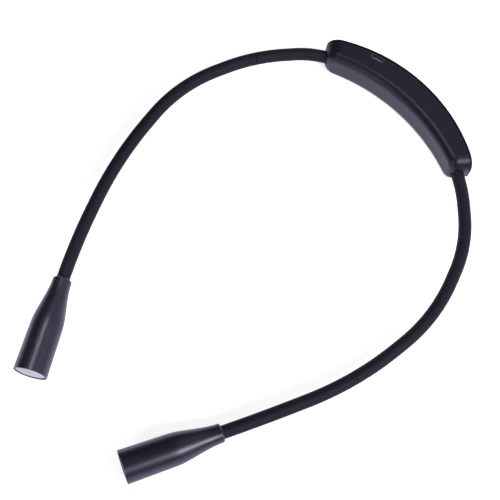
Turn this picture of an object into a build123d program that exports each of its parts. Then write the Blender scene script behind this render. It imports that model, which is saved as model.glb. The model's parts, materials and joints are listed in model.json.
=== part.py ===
"""Neck reading light: a curved battery housing, two bendable arms and two lamp heads.

Millimetres, +Z up. The origin is on the underside of the housing, in the middle of its
curve: +Y points away from the wearer's neck and the two lamp heads lie towards -Y.
"""
from build123d import *
from math import asin, cos, degrees, pi, radians, sin, sqrt, tan
import os

os.makedirs("parts", exist_ok=True)

# Housing: a crescent, deepest in the middle, with pill-shaped ends
housing_height = 21.0
arc_radius = 97.5           # middle line of the crescent
half_angle = 31.25          # degrees, from the middle of the housing to each end
depth_middle = 16.0
depth_end = 11.8
end_flare = 7.0             # degrees, the end faces open outwards
end_round = 8.0
inner_round = 5.0
wall = 1.6
end_wall = 3.2
overrun = 2.0               # how far a cutting body runs past what it cuts

# Outer cover: a curved plate with a lip that plugs into the main shell
cover_depth = 1.7
cover_round = 1.2
pocket_depth = 0.3          # the cover is thinner inside its lip
lip_gap = 0.12
lip_wall = 0.9
lip_depth = 1.6
snap_length = 6.0
snap_proud = 0.3
snap_width = 0.8
snap_angle = 22.0           # degrees, from the middle to each snap
snap_gap = 0.08
notch_gap = 0.4             # around the port and the light pipe, in the lip

# Arms: a silicone sleeve over a bendable metal core with a cable inside
sleeve_diameter = 7.05
core_diameter = 4.5
core_bore = 2.4
cable_diameter = 1.6
sleeve_gap = 0.15           # between core and sleeve
sleeve_seat_gap = 0.15      # between sleeve and the pockets it enters
core_seat_gap = 0.1         # between core and the webs it passes through
arm_inset = 1.4             # arm axis, inside the housing's middle line
stretch_lengths = (20.0, 40.0, 50.0, 60.0, 43.3)
left_bend_angles = (19.3, 18.8, 29.1, 13.9, 6.6)      # degrees in each stretch
right_bend_angles = (13.0, 26.6, 25.6, 17.1, 2.0)
hinge_straight = 3.0        # straight run on each side of a bending point
bend_limit = 30.0           # degrees, largest turn at one bending point
cup_rim = 0.3
ball_gap = 0.15
corner_gap = 0.25

# Anchors: crimped collars that hold the core inside the housing's end walls
anchor_diameter = 5.9
anchor_length = 4.5
anchor_gap = 0.15
crimp_gap = 0.05
sleeve_pocket = 2.0         # depth of the sleeve's pocket in the end wall

# Lamp heads: bottle-shaped shells
head_length = 52.0
neck_diameter = 9.9
neck_edge = 0.6
shoulder_share = 0.52       # of the head's length, from its neck end
shoulder_taper = 0.8        # the shoulder's diameter is less than the front's
rim_wall = 0.8              # around the lens
swell_shares = ((0.35, 0.26), (0.68, 0.73))      # along the swell, and up it
neck_pocket = 4.0
neck_web = 1.2
ferrule_diameter = 6.6
ferrule_length = 6.0
ferrule_room = 0.2
waist_share = 0.58          # where the inside cone turns, along its length
waist_width_share = 0.876   # its diameter, of the heat sink's
sink_shoulder = 0.7
sink_width_share = 0.867    # its diameter, of the lens's
sink_share = 0.32           # of the head's length beyond its shoulder
sink_bore = 2.2
groove_depth = 1.0
groove_width = 1.0
groove_count = 3
sink_gap = 0.15
led_board_margin = 0.35     # inside the heat sink's edge
led_board_thickness = 1.0
led_width = 3.5
led_base = 0.7
led_dome = 2.6
reflector_wall = 0.7
reflector_mouth = 5.8
reflector_gap = 0.1
reflector_bow_share = 0.62
rim_thickness = 0.6
lens_diameter = 15.8
lens_thickness = 1.4
lens_gap = 0.1
lens_recess = 0.4
lens_chamfer = 0.2

# Push buttons on the outer cover, one for each lamp head
button_angle = 15.0         # degrees, from the middle of the housing
port_flange_gap = 0.25      # between the port's floor and a button's flange
button_proud = 0.7
button_gap = 0.2
button_edge = 0.5
button_dish = 0.25
flange_width = 1.0
flange_thickness = 0.6
flange_gap = 0.5
button_travel = 0.4
post_diameter = 2.6

# Charging port, a micro-B receptacle that opens in the housing's upper edge
port_width = 7.4
port_thickness = 2.5
port_length = 4.9
port_corner = 0.9
port_shell = 0.25
port_recess = 0.35
port_gap = 0.2
port_rim = 0.45             # wall between the port's opening and the seam
tongue_width = 5.0
tongue_thickness = 0.6
tongue_set_back = 0.9

# Circuit boards and what they carry
board_thickness = 1.0
board_margin = 1.4          # from the housing's walls to a board's long edges
control_board_half_angle = 8.75      # degrees, seen from the middle of the arc
switch_board_half_angle = 6.44
switch_width = 4.5
switch_height = 1.3
plunger_diameter = 1.6
plunger_proud = 0.4
plunger_length = 1.0
plunger_gap = 0.08
well_depth = 1.1
connector_length = 3.0
connector_share = 0.25      # width, of a board's height
connector_half_depth = 1.5
connector_inset = 0.5
wire_end_gap = 0.1
chip_share = 0.213          # width, of the board's height
chip_height = 0.9
chip_place_shares = (-0.10, 0.19, 0.48)          # along half a board, outwards positive
chip_gap = 0.65             # between the switch and the row of chips

# Light pipe over the charge indicator
pipe_diameter = 0.9
pipe_collar = 1.5
pipe_collar_height = 0.6
pipe_reach = 8.6            # from the port's middle towards the housing's middle
pipe_outset = 1.0           # outside the port's middle line
pipe_gap = 0.05
indicator_width = 1.6
indicator_height = 1.0
indicator_gap = 0.2
indicator_cover = 0.6       # how far the indicator reaches past the pipe

# Posts and screws that hold the boards
post_radius = 1.9
pilot_radius = 0.65
screw_shank = 0.8
screw_head = 1.6
screw_head_height = 1.1
screw_length = 5.0
screw_recess = 0.5
control_post_shares = (0.77, -0.38)              # along half a board, outwards positive
switch_post_shares = (0.45, -0.52)
post_height_shares = (0.30, -0.30)               # from a board's middle, by its height

# Battery
cell_share = 0.634          # length, of the distance between the two boards' middles
cell_height_share = 0.787   # of the height inside the housing
cell_thickness = 4.2
cell_round = 0.8
pad_thickness = 0.8
pad_share = 0.8             # length, of the cell's
pad_height_share = 0.64     # of the cell's
pad_gap = 0.05
lead_diameter = 0.9
lead_spacing = 3.0
lead_radius = 1.6
lead_start = 0.8
ribbon_thickness = 0.4
ribbon_height = 5.0
ribbon_overlap = 1.6

middle = housing_height / 2
top = housing_height
end_angle = half_angle + end_flare
sleeve_radius = sleeve_diameter / 2
core_radius = core_diameter / 2
arm_radius = arc_radius - arm_inset
bends = {"left": left_bend_angles, "right": right_bend_angles}
sides = {"left": -1, "right": 1}


def polar(radius, angle):
    """A point in plan, at an angle from +Y about the centre of the housing's arc."""
    return radius * sin(radians(angle)), radius * cos(radians(angle)) - arc_radius


def circle_through(crown, radius_at_end):
    """Centre height and radius of the circle through a crown and both housing ends."""
    x, y = polar(radius_at_end, half_angle)
    centre = (x * x + y * y - crown * crown) / (2 * (y - crown))
    return centre, abs(crown - centre)


outer_centre, outer_radius = circle_through(depth_middle / 2, arc_radius + depth_end / 2)
inner_centre, inner_radius = circle_through(-depth_middle / 2, arc_radius - depth_end / 2)
seam_radius = outer_radius - cover_depth


def reach(centre, radius, angle):
    """Distance from the arc's centre to a housing circle, along an angle."""
    shift = centre + arc_radius
    across = shift * sin(radians(angle))
    return shift * cos(radians(angle)) + sqrt(radius * radius - across * across)


def facing(angle, radius, height=middle):
    """A plane that faces outwards: its x runs to the left, its y up."""
    a = radians(angle)
    x, y = polar(radius, angle)
    return Plane(origin=(x, y, height), x_dir=(-cos(a), sin(a), 0), z_dir=(sin(a), cos(a), 0))


def level(angle, radius, height):
    """A plane that faces up: its x runs along the housing, its y outwards."""
    a = radians(angle)
    x, y = polar(radius, angle)
    return Plane(origin=(x, y, height), x_dir=(cos(a), -sin(a), 0), z_dir=(0, 0, 1))


def keep(solid, name):
    solid.label = name
    export_step(solid, f"parts/{name}.step")


# Housing solids: the crescent is filleted at its ends, then round its long faces
def crescent(inset, end_inset, radius, outer_fillet=0.0):
    """The housing's form, inset from its walls and ends, out to the given outer circle."""
    x, y = polar(arc_radius, half_angle)
    apex = y - x / tan(radians(end_angle)) + end_inset / sin(radians(end_angle))
    far = 2 * arc_radius
    dx, dy = far * sin(radians(end_angle)), far * cos(radians(end_angle))
    with BuildPart() as form:
        with BuildSketch(Plane.XY.offset(inset)):
            with Locations((0, outer_centre)):
                Circle(radius)
            with Locations((0, inner_centre)):
                Circle(inner_radius + inset, mode=Mode.SUBTRACT)
            Polygon((0, apex), (dx, apex + dy), (-dx, apex + dy), align=None, mode=Mode.INTERSECT)
        extrude(amount=housing_height - 2 * inset)
        ends = form.edges().filter_by(GeomType.LINE).filter_by(Axis.Z, reverse=True)
        fillet(ends, radius=end_round - inset)
        walls = form.faces().filter_by(GeomType.CYLINDER).sort_by(SortBy.AREA)[-2:]
        fillet(walls.sort_by(Axis.Y)[0].edges(), radius=inner_round - inset)
        if outer_fillet:
            walls = form.faces().filter_by(GeomType.CYLINDER).sort_by(SortBy.AREA)[-2:]
            fillet(walls.sort_by(Axis.Y)[-1].edges(), radius=outer_fillet)
    return form.part


def upright(radius):
    """A drum on the outer face's centre, taller than the housing."""
    with BuildPart() as drum:
        with Locations((0, outer_centre, middle)):
            Cylinder(radius, housing_height + 2 * overrun)
    return drum.part


blank = crescent(0, 0, outer_radius, cover_round)
cavity = crescent(wall, end_wall, outer_radius + overrun)
lip_inset = wall + lip_gap
lip_outside = crescent(lip_inset, end_wall + lip_gap, outer_radius + overrun)
lip_inside = crescent(lip_inset + lip_wall, end_wall + lip_gap + lip_wall, outer_radius + overrun)
seam_drum = upright(seam_radius)
lip_drum = upright(seam_radius - lip_depth)

# Levels of the boards, measured from the arc's centre at the buttons
seam_reach = reach(outer_centre, seam_radius, button_angle)
port_radius = seam_reach - port_rim - port_gap - port_thickness / 2
board_face = port_radius - port_thickness / 2
board_back = board_face - board_thickness
board_height = housing_height - 2 * (wall + board_margin)
board_half_angles = {"left": control_board_half_angle, "right": switch_board_half_angle}
board_lengths = {side: 2 * arc_radius * tan(radians(angle))
                 for side, angle in board_half_angles.items()}
post_shares = {"left": control_post_shares, "right": switch_post_shares}


def board_angle(side):
    return sides[side] * button_angle


def post_places(side):
    """Places of a board's two posts on its plane: outwards is +x on the left."""
    half = board_lengths[side] / 2
    outwards = -sides[side]
    return [(outwards * a * half, h * board_height)
            for a, h in zip(post_shares[side], post_height_shares)]


# Arm routes, as bending points and headings from the housing to each lamp head
def turned(direction, angle):
    a = radians(angle)
    return (direction[0] * cos(a) - direction[1] * sin(a),
            direction[0] * sin(a) + direction[1] * cos(a))


def along(point, direction, distance):
    return point[0] + distance * direction[0], point[1] + distance * direction[1]


def arm_route(side):
    """Bending points and the arm's heading at each, and the arcs between them."""
    sign = sides[side]
    point = polar(arm_radius, sign * half_angle)
    heading = (sign * cos(radians(half_angle)), -sin(radians(half_angle)))
    points, headings, arcs = [point], [heading], []
    straights = [hinge_straight for bend in bends[side][1:]]
    leads, tails = [0] + straights, straights + [0]
    for length, bend, lead, tail in zip(stretch_lengths, bends[side], leads, tails):
        turn = -sign * bend
        radius = (length - lead - tail) / radians(bend)
        start = along(point, heading, lead)
        chord = 2 * radius * sin(radians(bend / 2))
        end = along(start, turned(heading, turn / 2), chord)
        arcs.append((start, heading, radius, turn, end))
        heading = turned(heading, turn)
        point = along(end, heading, tail)
        points.append(point)
        headings.append(heading)
    return points, headings, arcs


def draw_stretch(route, i, start_shift, end_shift):
    """Draw one stretch in the open line builder, moved at both ends by the shifts."""
    points, headings, arcs = route
    start, heading, radius, turn, end = arcs[i]
    Line(along(points[i], headings[i], start_shift), start)
    JernArc(start, heading, radius, turn)
    Line(end, along(points[i + 1], headings[i + 1], end_shift))


def across(point, heading):
    """A plane square to the arm at a point of its route."""
    return Plane(origin=(*point, middle), x_dir=(0, 0, 1), z_dir=(*heading, 0))


def tube_length(before, after):
    return before + sum(stretch_lengths) + after


def whole_tube(route, outer, bore, before, after):
    """A tube along a whole arm, running on before its first point and after its last."""
    points, headings, arcs = route
    last = len(arcs) - 1
    start = along(points[0], headings[0], -before)
    with BuildPart() as tube:
        with BuildLine(Plane.XY.offset(middle)) as path:
            for i in range(last + 1):
                draw_stretch(route, i, -before if i == 0 else 0, after if i == last else 0)
        with BuildSketch(across(start, headings[0])):
            Circle(outer)
            if bore:
                Circle(bore, mode=Mode.SUBTRACT)
        sweep(path=path.wire())
    return tube.part


# A joint in the core: each link starts with a ball that sits in the cup of the one before
seat_radius = core_radius - cup_rim
ball_radius = seat_radius - ball_gap
joint_gap = (core_radius * sin(radians(bend_limit)) + corner_gap) / (1 + cos(radians(bend_limit)))
core_inside_housing = end_wall + anchor_length
core_inside_head = neck_pocket + neck_web + ferrule_length
head_web = neck_pocket + neck_web
routes = {side: arm_route(side) for side in sides}


def core_link(route, i):
    points, headings, arcs = route
    last = len(arcs) - 1
    start_shift = joint_gap if i > 0 else -core_inside_housing
    end_shift = -joint_gap if i < last else core_inside_head
    start = along(points[i], headings[i], start_shift)
    with BuildPart() as link:
        with BuildLine(Plane.XY.offset(middle)) as path:
            draw_stretch(route, i, start_shift, end_shift)
        with BuildSketch(across(start, headings[i])):
            Circle(core_radius)
            Circle(core_bore / 2, mode=Mode.SUBTRACT)
        sweep(path=path.wire())
        if i > 0:
            with Locations(across(points[i], headings[i])):
                Sphere(ball_radius)
                Cylinder(core_bore / 2, 2 * core_radius, mode=Mode.SUBTRACT)
        if i < last:
            with Locations(across(points[i + 1], headings[i + 1])):
                Sphere(seat_radius, mode=Mode.SUBTRACT)
    return link.part


# Each arm's cable runs straight on inside the housing to its board's connector
def connector_face(side):
    """Distance of the connector's outer end from the middle of its board."""
    return board_lengths[side] / 2 - connector_inset


def cable_inside(side):
    turn = radians(half_angle - button_angle)
    run = (arm_radius * sin(turn) - connector_face(side)) / cos(turn)
    return run - cable_diameter / 2 * tan(turn) - wire_end_gap


def connector_radius(side):
    turn = radians(half_angle - button_angle)
    return arm_radius * cos(turn) + cable_inside(side) * sin(turn)


# Main shell
port_angle = -button_angle
port_floor = top - port_recess - port_length
pipe_angle = port_angle + degrees(asin(pipe_reach / port_radius))
pipe_radius = port_radius + pipe_outset
post_foot = reach(inner_centre, inner_radius + wall / 2, button_angle)


def port_outline(grow):
    """The port's outline in the open sketch: its inner corners are cut off."""
    with BuildSketch(Plane.XY, mode=Mode.PRIVATE) as outline:
        Rectangle(port_width + 2 * grow, port_thickness + 2 * grow)
        chamfer(outline.vertices().group_by(Axis.Y)[0], length=port_corner + grow / 2)
    return outline.sketch


def snap_planes(reach_from_middle):
    """Planes on the housing's upper and lower inner walls, at the four snaps."""
    planes = []
    for angle in (-snap_angle, snap_angle):
        radius = reach(outer_centre, seam_radius - lip_depth / 2, angle)
        planes.append(level(angle, radius, middle + reach_from_middle))
        planes.append(level(angle, radius, middle - reach_from_middle))
    return planes


with BuildPart() as main_shell:
    add(blank)
    add(seam_drum, mode=Mode.INTERSECT)
    add(cavity, mode=Mode.SUBTRACT)
    for side in sides:
        with BuildSketch(facing(board_angle(side), post_foot)):
            with Locations(*post_places(side)):
                Circle(post_radius)
        extrude(amount=board_back - post_foot)
        with BuildSketch(facing(board_angle(side), board_back)):
            with Locations(*post_places(side)):
                Circle(pilot_radius)
        extrude(amount=-(screw_length + screw_recess - board_thickness), mode=Mode.SUBTRACT)
        points, headings, arcs = routes[side]
        with BuildSketch(across(along(points[0], headings[0], overrun), headings[0])):
            Circle(sleeve_radius + sleeve_seat_gap)
        extrude(amount=-(sleeve_pocket + overrun), mode=Mode.SUBTRACT)
        with BuildSketch(across(points[0], headings[0])):
            Circle(core_radius + core_seat_gap)
        extrude(amount=-(end_wall + overrun), mode=Mode.SUBTRACT)
        with BuildSketch(across(along(points[0], headings[0], -end_wall), headings[0])):
            Circle(anchor_diameter / 2 + anchor_gap)
        extrude(amount=-(anchor_length + overrun), mode=Mode.SUBTRACT)
    with BuildSketch(level(port_angle, port_radius, top - wall - overrun)):
        add(port_outline(port_gap))
    extrude(amount=wall + 2 * overrun, mode=Mode.SUBTRACT)
    with BuildSketch(level(pipe_angle, pipe_radius, top - wall - overrun)):
        Circle(pipe_diameter / 2 + pipe_gap)
    extrude(amount=wall + 2 * overrun, mode=Mode.SUBTRACT)
    with Locations(*snap_planes(middle - wall)):
        Box(snap_length + 2 * snap_gap, snap_width + 2 * snap_gap,
            2 * (snap_proud + lip_gap), mode=Mode.SUBTRACT)
keep(main_shell.part, "main_shell")

# Outer cover, with its lip, four snaps and two button holes
flange_radius = port_floor - port_flange_gap - middle
button_radius = flange_radius - flange_width
lip_top = middle - lip_inset
notch_start = -(port_width / 2 + notch_gap)
notch_end = pipe_reach + pipe_collar / 2 + notch_gap
with BuildPart() as outer_cover:
    add(lip_outside)
    add(lip_inside, mode=Mode.SUBTRACT)
    add(lip_drum, mode=Mode.SUBTRACT)
    with BuildSketch(level(port_angle, port_radius, middle)):
        with Locations(((notch_start + notch_end) / 2, 0)):
            Rectangle(notch_end - notch_start, 2 * (port_thickness + lip_depth))
    extrude(amount=middle, mode=Mode.SUBTRACT)
    with Locations(*snap_planes(lip_top)):
        Box(snap_length, snap_width, 2 * snap_proud)
    add(seam_drum, mode=Mode.INTERSECT)
    add(blank - seam_drum)
    for side in sides:
        with BuildSketch(facing(board_angle(side), seam_reach - overrun)):
            Circle(button_radius + button_gap)
        extrude(amount=cover_depth + 2 * overrun, mode=Mode.SUBTRACT)
        points, headings, arcs = routes[side]
        with BuildSketch(across(points[0], headings[0])):
            Circle(core_radius + core_seat_gap)
        extrude(amount=-(core_inside_housing + overrun), mode=Mode.SUBTRACT)
    add(lip_inside & upright(seam_radius + pocket_depth), mode=Mode.SUBTRACT)
keep(outer_cover.part, "outer_cover")

# Circuit boards, drilled for their screws
for side, name in (("left", "control_board"), ("right", "switch_board")):
    with BuildPart() as board:
        with BuildSketch(facing(board_angle(side), board_back)):
            Rectangle(board_lengths[side], board_height)
            with Locations(*post_places(side)):
                Circle(screw_shank + core_seat_gap, mode=Mode.SUBTRACT)
        extrude(amount=board_thickness)
    keep(board.part, name)

# Screws, seated on the boards' outer faces
with BuildPart() as board_screws:
    for side in sides:
        with BuildSketch(facing(board_angle(side), board_face)):
            with Locations(*post_places(side)):
                Circle(screw_head)
        extrude(amount=screw_head_height)
        with BuildSketch(facing(board_angle(side), board_face)):
            with Locations(*post_places(side)):
                Circle(pilot_radius - crimp_gap)
        extrude(amount=-screw_length)
keep(board_screws.part, "board_screws")

# Parts on the boards: connectors, driver chips and the side-facing charge indicator
board_outwards = {side: -sides[side] for side in sides}
pipe_local = -(pipe_radius * sin(radians(pipe_angle - port_angle)))
pipe_depth = pipe_radius * cos(radians(pipe_angle - port_angle)) - board_face
pipe_foot = wall + pipe_collar_height
chip_width = chip_share * board_height
chip_middle = -(switch_width / 2 + chip_gap + chip_width / 2)
with BuildPart() as board_parts:
    for side in sides:
        out = board_outwards[side]
        depth = board_back - connector_radius(side) + connector_half_depth
        face = connector_face(side) - connector_length / 2
        with BuildSketch(facing(board_angle(side), board_back)):
            with Locations((out * face, 0)):
                Rectangle(connector_length, connector_share * board_height)
        extrude(amount=-depth)
    with BuildSketch(facing(port_angle, board_face)):
        for place in chip_place_shares:
            with Locations((place * board_lengths["left"] / 2, chip_middle)):
                Rectangle(chip_width, chip_width)
    extrude(amount=chip_height)
    with BuildSketch(facing(port_angle, board_face)):
        with Locations((pipe_local, middle - pipe_foot - indicator_gap - indicator_height / 2)):
            Rectangle(indicator_width, indicator_height)
    extrude(amount=pipe_depth + indicator_cover)
keep(board_parts.part, "board_parts")

# Light pipe, from the indicator up to the housing's upper edge
with BuildPart() as indicator_pipe:
    with BuildSketch(level(pipe_angle, pipe_radius, top - wall)):
        Circle(pipe_diameter / 2)
    extrude(amount=wall)
    with BuildSketch(level(pipe_angle, pipe_radius, top - wall)):
        Circle(pipe_collar / 2)
    extrude(amount=-pipe_collar_height)
keep(indicator_pipe.part, "indicator_pipe")

# Charging port: a folded metal shell, its floor and the contact tongue
with BuildPart() as usb_port:
    with BuildSketch(level(port_angle, port_radius, port_floor)):
        add(port_outline(0))
    extrude(amount=port_length)
    with BuildSketch(level(port_angle, port_radius, port_floor + port_shell)):
        add(port_outline(-port_shell))
    extrude(amount=port_length, mode=Mode.SUBTRACT)
    with BuildSketch(level(port_angle, port_radius, port_floor)):
        Rectangle(tongue_width, tongue_thickness)
    extrude(amount=port_length - tongue_set_back)
keep(usb_port.part, "usb_port")

# Push switches: a body with a well on each board, and a plunger in each well
with BuildPart() as tact_switches:
    for side in sides:
        with BuildSketch(facing(board_angle(side), board_face)):
            Rectangle(switch_width, switch_width)
        extrude(amount=switch_height)
        with BuildSketch(facing(board_angle(side), board_face + switch_height)):
            Circle(plunger_diameter / 2 + plunger_gap)
        extrude(amount=-well_depth, mode=Mode.SUBTRACT)
keep(tact_switches.part, "tact_switches")

plunger_top = board_face + switch_height + plunger_proud
flange_top = seam_reach - flange_gap
button_top = seam_reach + cover_depth + button_proud
for side in sides:
    with BuildPart() as plunger:
        with BuildSketch(facing(board_angle(side), plunger_top - plunger_length)):
            Circle(plunger_diameter / 2)
        extrude(amount=plunger_length)
    keep(plunger.part, f"{side}_plunger")

    with BuildPart() as button:
        with BuildSketch(facing(board_angle(side), flange_top - flange_thickness)):
            Circle(button_radius)
        extrude(amount=button_top - flange_top + flange_thickness)
        rim = button.faces().sort_by(Axis(polar(0, 0) + (middle,), facing(board_angle(side), 0).z_dir))
        fillet(rim[-1].edges(), radius=button_edge)
        with BuildSketch(facing(board_angle(side), flange_top - flange_thickness)):
            Circle(flange_radius)
        extrude(amount=flange_thickness)
        with BuildSketch(facing(board_angle(side), flange_top - flange_thickness)):
            Circle(post_diameter / 2)
        extrude(amount=-(flange_top - flange_thickness - plunger_top))
        dish = ((button_radius - button_edge) ** 2 + button_dish ** 2) / (2 * button_dish)
        with Locations(facing(board_angle(side), button_top - button_dish + dish)):
            Sphere(dish, mode=Mode.SUBTRACT)
    keep(button.part, f"{side}_button")

# Battery cell on a foam pad, against the housing's inner wall
cell_length = cell_share * 2 * arc_radius * sin(radians(button_angle))
cell_height = cell_height_share * (housing_height - 2 * wall)
pad_length = pad_share * cell_length
pad_height = pad_height_share * cell_height
cell_back = -depth_middle / 2 + wall + pad_thickness
cell_front = cell_back + cell_thickness
with BuildPart() as battery_cell:
    with BuildSketch(Plane.XY.offset(middle - cell_height / 2)):
        with Locations((0, cell_back + cell_thickness / 2)):
            Rectangle(cell_length, cell_thickness)
    extrude(amount=cell_height)
    fillet(battery_cell.edges().filter_by(Axis.X), radius=cell_round)
keep(battery_cell.part, "battery_cell")

with BuildPart() as battery_pad:
    with BuildSketch(Plane.XY.offset(middle - pad_height / 2)):
        with Locations((0, cell_back - cell_thickness / 2)):
            Rectangle(pad_length, cell_thickness)
        with Locations((0, inner_centre)):
            Circle(inner_radius + wall + pad_gap, mode=Mode.SUBTRACT)
    extrude(amount=pad_height)
keep(battery_pad.part, "battery_pad")

# Battery leads, from the cell's end to the back of the control board
lead_turn = 90 - button_angle
lead_begin = (-cell_length / 2, (cell_back + cell_front) / 2)
lead_bend = along(lead_begin, (-1, 0), lead_start)
lead_way = turned((-1, 0), -lead_turn)
lead_arc_end = along(lead_bend, turned((-1, 0), -lead_turn / 2),
                     2 * lead_radius * sin(radians(lead_turn / 2)))
lead_level = (lead_arc_end[0] * lead_way[0]
              + (lead_arc_end[1] + arc_radius) * lead_way[1])
lead_end = along(lead_arc_end, lead_way, board_back - lead_level)
with BuildPart() as battery_leads:
    for lift in (-lead_spacing / 2, lead_spacing / 2):
        with BuildLine(Plane.XY.offset(middle + lift)) as path:
            Line(lead_begin, lead_bend)
            JernArc(lead_bend, (-1, 0), lead_radius, -lead_turn)
            Line(lead_arc_end, lead_end)
        with BuildSketch(Plane(origin=(*lead_begin, middle + lift), x_dir=(0, 0, 1), z_dir=(-1, 0, 0))):
            Circle(lead_diameter / 2)
        sweep(path=path.wire())
keep(battery_leads.part, "battery_leads")

# Ribbon between the two boards, bonded to their backs
ribbon_level = board_back - ribbon_thickness / 2


def on_board(side, distance):
    """A point in plan on the ribbon's line behind a board, inwards from its middle."""
    angle = radians(board_angle(side))
    shift = -sides[side] * distance
    x, y = polar(ribbon_level, board_angle(side))
    return x + shift * cos(angle), y - shift * sin(angle)


control_end = board_lengths["left"] / 2
switch_end = board_lengths["right"] / 2
with BuildPart() as board_ribbon:
    with BuildSketch(Plane.XY.offset(middle - ribbon_height / 2)):
        with BuildLine():
            Polyline(on_board("left", control_end - ribbon_overlap), on_board("left", control_end),
                     on_board("right", switch_end), on_board("right", switch_end - ribbon_overlap))
        trace(line_width=ribbon_thickness)
    extrude(amount=ribbon_height)
keep(board_ribbon.part, "board_ribbon")

# Arms: anchors, core links, sleeves and cables
for side in sides:
    route = routes[side]
    points, headings, arcs = route
    with BuildPart() as anchor:
        with BuildSketch(across(along(points[0], headings[0], -end_wall), headings[0])):
            Circle(anchor_diameter / 2)
            Circle(core_radius + crimp_gap, mode=Mode.SUBTRACT)
        extrude(amount=-anchor_length)
    keep(anchor.part, f"{side}_anchor")

    for i in range(len(arcs)):
        keep(core_link(route, i), f"{side}_core_{i + 1}")

    before = sleeve_pocket - wire_end_gap
    after = neck_pocket - wire_end_gap
    sleeve = whole_tube(route, sleeve_radius, core_radius + sleeve_gap, before, after)
    keep(sleeve, f"{side}_sleeve")
    area = pi * (sleeve_radius ** 2 - (core_radius + sleeve_gap) ** 2)
    share = sleeve.volume / (area * tube_length(before, after))
    print(f"{side} sleeve volume against its section times its length: {share:.4f}")

# Lamp heads
front_radius = lens_diameter / 2 + lens_gap + rim_wall
shoulder_radius = front_radius - shoulder_taper / 2
sink_diameter = sink_width_share * lens_diameter
waist_diameter = waist_width_share * sink_diameter
led_board_radius = sink_diameter / 2 - led_board_margin
neck_radius = neck_diameter / 2
pocket_radius = sleeve_radius + sleeve_seat_gap
ferrule_seat = ferrule_diameter / 2 + ferrule_room
ferrule_end = head_web + ferrule_length + ferrule_room
shoulder_length = shoulder_share * head_length
sink_length = sink_share * (head_length - shoulder_length)
sink_back = shoulder_length + overrun
sink_front = sink_back + sink_length
bore_radius = sink_diameter / 2 + sink_gap
lens_seat = head_length - lens_recess - lens_thickness - rim_thickness
lens_bore = lens_diameter / 2 + lens_gap
waist_at = ferrule_end + waist_share * (sink_back - ferrule_end)
board_front = sink_front + led_board_thickness
led_front = board_front + led_base


def head_plane(side):
    """The plane of a head's profiles: x along its axis from the neck, y the radius."""
    points, headings, arcs = routes[side]
    x, y = headings[-1]
    return Plane(origin=(*points[-1], middle), x_dir=(x, y, 0), z_dir=(y, -x, 0))


def lathe(side, points):
    """A turned part of a head, from its half profile."""
    plane = head_plane(side)
    with BuildPart() as part:
        with BuildSketch(plane):
            with BuildLine():
                Polyline(*points, close=True)
            make_face()
        revolve(axis=Axis(plane.origin, plane.x_dir))
    return part.part


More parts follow.
